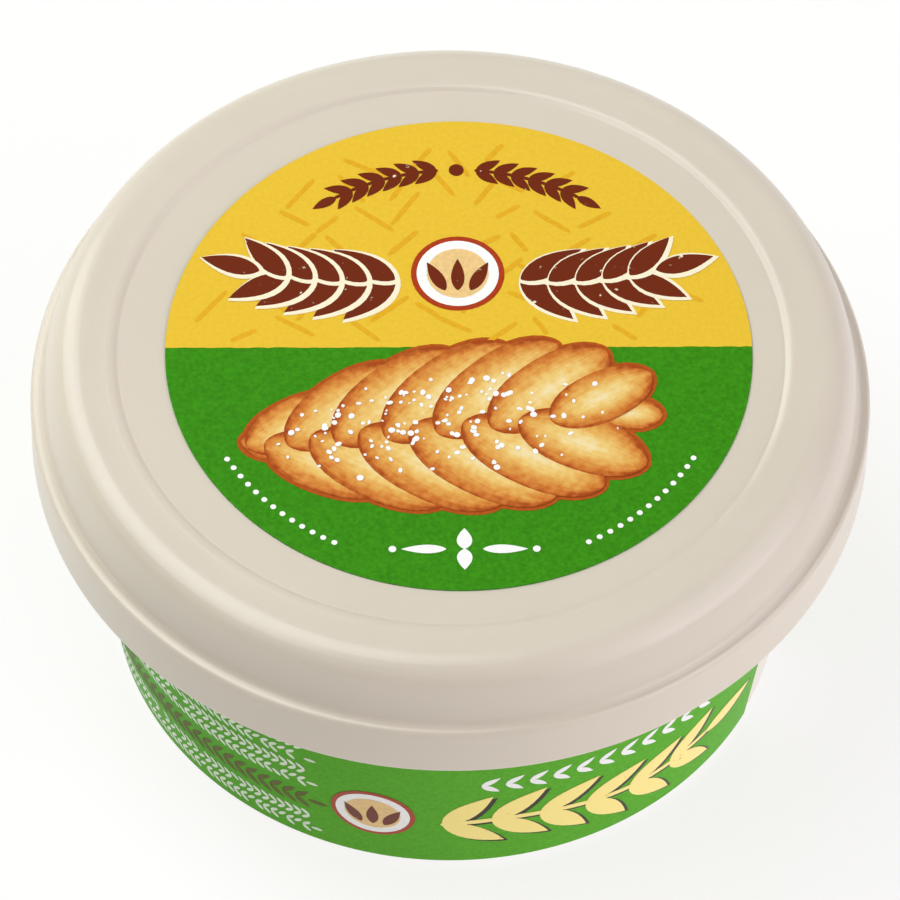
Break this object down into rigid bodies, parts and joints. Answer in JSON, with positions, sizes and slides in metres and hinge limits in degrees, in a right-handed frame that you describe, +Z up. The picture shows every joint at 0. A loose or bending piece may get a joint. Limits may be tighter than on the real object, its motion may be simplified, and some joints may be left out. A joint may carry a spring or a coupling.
{
  "type": "lidded spread tub",
  "caption": "Round shut plastic tub of bread spread with a cream press-on lid, a round label on the lid and a green label wrapped round the tapered wall.",
  "frame": {"origin": "middle of the base, on the surface that the tub stands on", "axes": "+Z up along the tub's axis, -Y towards the front of the print on the lid"},
  "size_m": [0.088, 0.088, 0.0427],
  "materials": {
    "tub_plastic": "satin cream moulded plastic",
    "lid_plastic": "satin cream moulded plastic",
    "lid_label_film": "satin printed film, yellow over green",
    "tub_label_film": "satin printed film, green"
  },
  "bodies": {
    "root": {"tub": "tub_plastic", "lid": "lid_plastic", "lid_label": "lid_label_film", "tub_label": "tub_label_film"}
  },
  "joints": []
}
